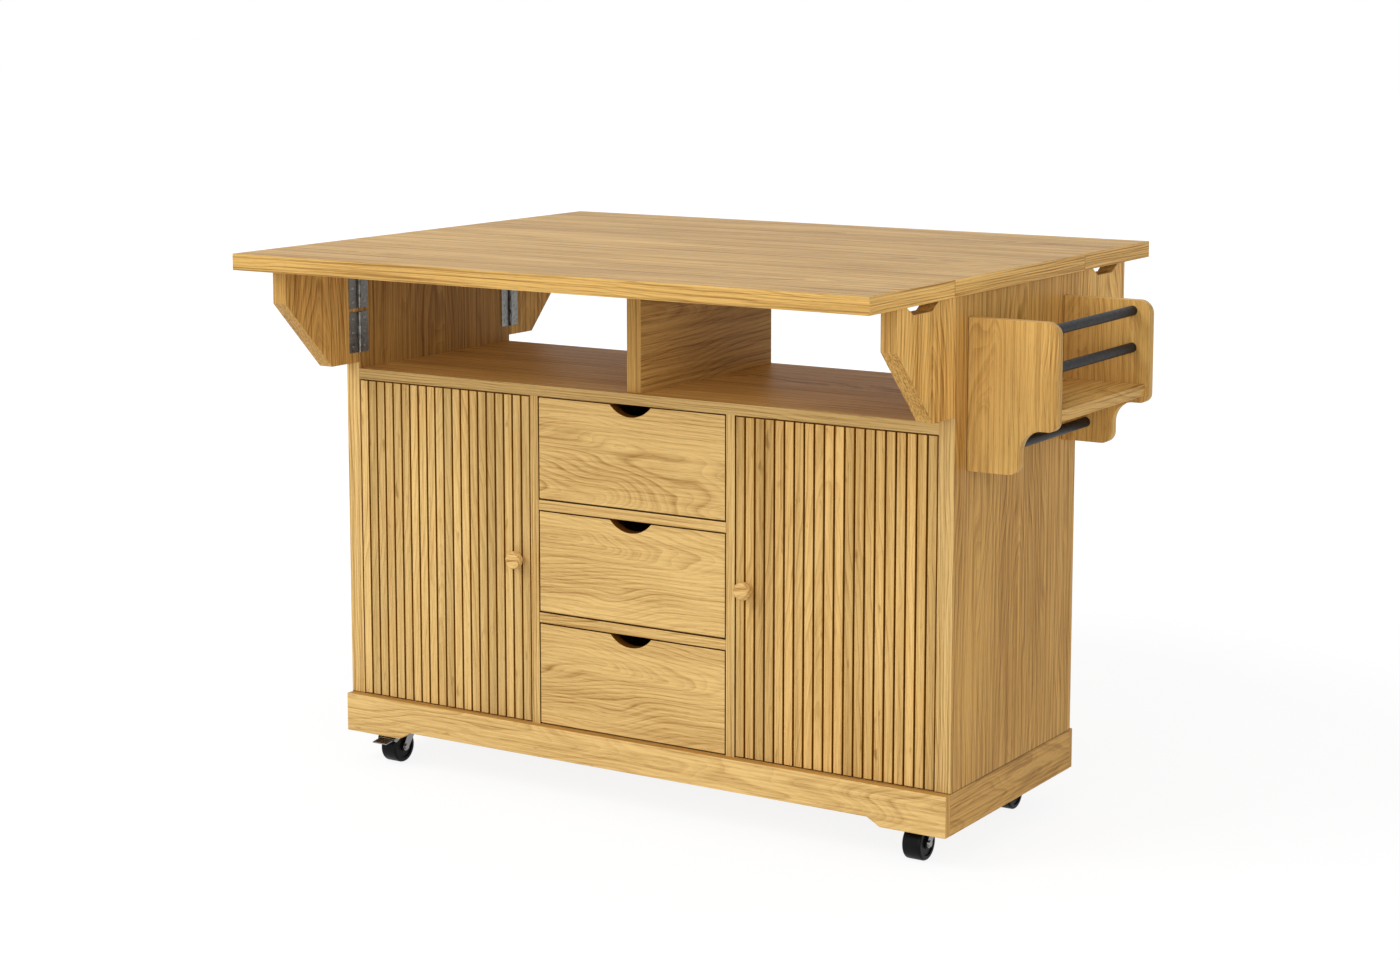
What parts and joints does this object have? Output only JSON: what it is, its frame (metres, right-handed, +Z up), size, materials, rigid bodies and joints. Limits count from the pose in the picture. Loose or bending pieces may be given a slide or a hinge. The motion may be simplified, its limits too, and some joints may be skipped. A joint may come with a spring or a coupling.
{
  "type": "kitchen cart with drop leaves",
  "caption": "Rolling wooden kitchen cart with a leaf worktop on fold-out brackets, slatted cupboard doors, drawers, an open compartment and a side rack.",
  "frame": {"origin": "middle of the whole cart's box, on the floor", "axes": "+X to the right seen from the door side, +Y to the back, +Z up"},
  "size_m": [1.322, 0.996, 0.914],
  "materials": {
    "oak": "satin",
    "worktop": "satin",
    "pale_board": "matte",
    "hinge_steel": "satin",
    "rod": "satin",
    "zinc": "satin",
    "tyre": "matte"
  },
  "bodies": {
    "cabinet": {"side_left": "oak", "side_right": "oak", "bottom_panel": "oak", "dividers": "oak", "drawer_rails": "oak", "shelf_board": "oak", "centre_divider": "oak", "back_panel": "oak", "plinth_rails": "oak", "plinth_sides": "oak", "caster_boards": "oak", "top_centre": "worktop", "leaf_hinges_fixed": "hinge_steel", "bracket_hinges_fixed": "hinge_steel", "runners": "zinc", "door_pins": "zinc", "cupboard_shelves": "oak", "shelf_pins": "zinc", "caster_plates": "zinc", "rack_cheeks": "oak", "rack_shelf": "oak", "rack_rods": "rod"},
    "front_leaf": {"leaf_front": "worktop", "leaf_hinges_front": "hinge_steel"},
    "back_leaf": {"leaf_back": "worktop", "leaf_hinges_back": "hinge_steel"},
    "front_left_bracket": {"bracket_front_left": "oak", "bracket_hinges_front_left": "hinge_steel"},
    "front_right_bracket": {"bracket_front_right": "oak", "bracket_hinges_front_right": "hinge_steel"},
    "back_left_bracket": {"bracket_back_left": "oak", "bracket_hinges_back_left": "hinge_steel"},
    "back_right_bracket": {"bracket_back_right": "oak", "bracket_hinges_back_right": "hinge_steel"},
    "left_door": {"door_left": "oak", "slats_left": "oak", "knob_left": "oak"},
    "right_door": {"door_right": "oak", "slats_right": "oak", "knob_right": "oak"},
    "drawer_1": {"drawer_front_1": "oak", "drawer_box_1": "pale_board", "drawer_slides_1": "zinc"},
    "drawer_2": {"drawer_front_2": "oak", "drawer_box_2": "pale_board", "drawer_slides_2": "zinc"},
    "drawer_3": {"drawer_front_3": "oak", "drawer_box_3": "pale_board", "drawer_slides_3": "zinc"},
    "front_left_fork": {"fork_front_left": "zinc"},
    "front_left_wheel": {"wheel_front_left": "tyre"},
    "front_left_brake": {"brake_front_left": "zinc"},
    "front_right_fork": {"fork_front_right": "zinc"},
    "front_right_wheel": {"wheel_front_right": "tyre"},
    "back_left_fork": {"fork_back_left": "zinc"},
    "back_left_wheel": {"wheel_back_left": "tyre"},
    "back_right_fork": {"fork_back_right": "zinc"},
    "back_right_wheel": {"wheel_back_right": "tyre"},
    "back_right_brake": {"brake_back_right": "zinc"}
  },
  "joints": [
    {"name": "front_leaf_lift", "type": "hinge", "parent": "cabinet", "child": "front_leaf", "pos_m": [-0.072, -0.23325, 0.8836], "axis": [-1, 0, 0], "range_deg": [0, 2.5]},
    {"name": "back_leaf_lift", "type": "hinge", "parent": "cabinet", "child": "back_leaf", "pos_m": [-0.072, 0.23325, 0.8836], "axis": [1, 0, 0], "range_deg": [0, 2.5]},
    {"name": "front_left_bracket_fold", "type": "hinge", "parent": "cabinet", "child": "front_left_bracket", "pos_m": [-0.6256, -0.21875, 0.796], "axis": [0, 0, -1], "range_deg": [-180, 0]},
    {"name": "front_right_bracket_fold", "type": "hinge", "parent": "cabinet", "child": "front_right_bracket", "pos_m": [0.4816, -0.21875, 0.796], "axis": [0, 0, 1], "range_deg": [-180, 0]},
    {"name": "back_left_bracket_fold", "type": "hinge", "parent": "cabinet", "child": "back_left_bracket", "pos_m": [-0.6256, 0.21875, 0.796], "axis": [0, 0, 1], "range_deg": [-180, 0]},
    {"name": "back_right_bracket_fold", "type": "hinge", "parent": "cabinet", "child": "back_right_bracket", "pos_m": [0.4816, 0.21875, 0.796], "axis": [0, 0, -1], "range_deg": [-180, 0]},
    {"name": "left_door_swing", "type": "hinge", "parent": "cabinet", "child": "left_door", "pos_m": [-0.603, -0.209, 0.3995], "axis": [0, 0, -1], "range_deg": [0, 110]},
    {"name": "right_door_swing", "type": "hinge", "parent": "cabinet", "child": "right_door", "pos_m": [0.459, -0.209, 0.3995], "axis": [0, 0, 1], "range_deg": [0, 110]},
    {"name": "drawer_1_slide", "type": "slide", "parent": "cabinet", "child": "drawer_1", "axis": [0, -1, 0], "range_m": [0, 0.26]},
    {"name": "drawer_2_slide", "type": "slide", "parent": "cabinet", "child": "drawer_2", "axis": [0, -1, 0], "range_m": [0, 0.26]},
    {"name": "drawer_3_slide", "type": "slide", "parent": "cabinet", "child": "drawer_3", "axis": [0, -1, 0], "range_m": [0, 0.26]},
    {"name": "front_left_swivel", "type": "hinge", "parent": "cabinet", "child": "front_left_fork", "pos_m": [-0.585, -0.158, 0.067], "axis": [0, 0, 1], "continuous": true},
    {"name": "front_left_roll", "type": "hinge", "parent": "front_left_fork", "child": "front_left_wheel", "pos_m": [-0.585, -0.184, 0.0275], "axis": [1, 0, 0], "continuous": true},
    {"name": "front_left_brake_tip", "type": "hinge", "parent": "front_left_fork", "child": "front_left_brake", "pos_m": [-0.585, -0.211, 0.0455], "axis": [-1, 0, 0], "range_deg": [0, 10]},
    {"name": "front_right_swivel", "type": "hinge", "parent": "cabinet", "child": "front_right_fork", "pos_m": [0.441, -0.158, 0.067], "axis": [0, 0, 1], "continuous": true},
    {"name": "front_right_roll", "type": "hinge", "parent": "front_right_fork", "child": "front_right_wheel", "pos_m": [0.441, -0.184, 0.0275], "axis": [1, 0, 0], "continuous": true},
    {"name": "back_left_swivel", "type": "hinge", "parent": "cabinet", "child": "back_left_fork", "pos_m": [-0.585, 0.158, 0.067], "axis": [0, 0, 1], "continuous": true},
    {"name": "back_left_roll", "type": "hinge", "parent": "back_left_fork", "child": "back_left_wheel", "pos_m": [-0.585, 0.132, 0.0275], "axis": [1, 0, 0], "continuous": true},
    {"name": "back_right_swivel", "type": "hinge", "parent": "cabinet", "child": "back_right_fork", "pos_m": [0.441, 0.158, 0.067], "axis": [0, 0, 1], "continuous": true},
    {"name": "back_right_roll", "type": "hinge", "parent": "back_right_fork", "child": "back_right_wheel", "pos_m": [0.441, 0.132, 0.0275], "axis": [1, 0, 0], "continuous": true},
    {"name": "back_right_brake_tip", "type": "hinge", "parent": "back_right_fork", "child": "back_right_brake", "pos_m": [0.441, 0.105, 0.0455], "axis": [-1, 0, 0], "range_deg": [0, 10]}
  ]
}
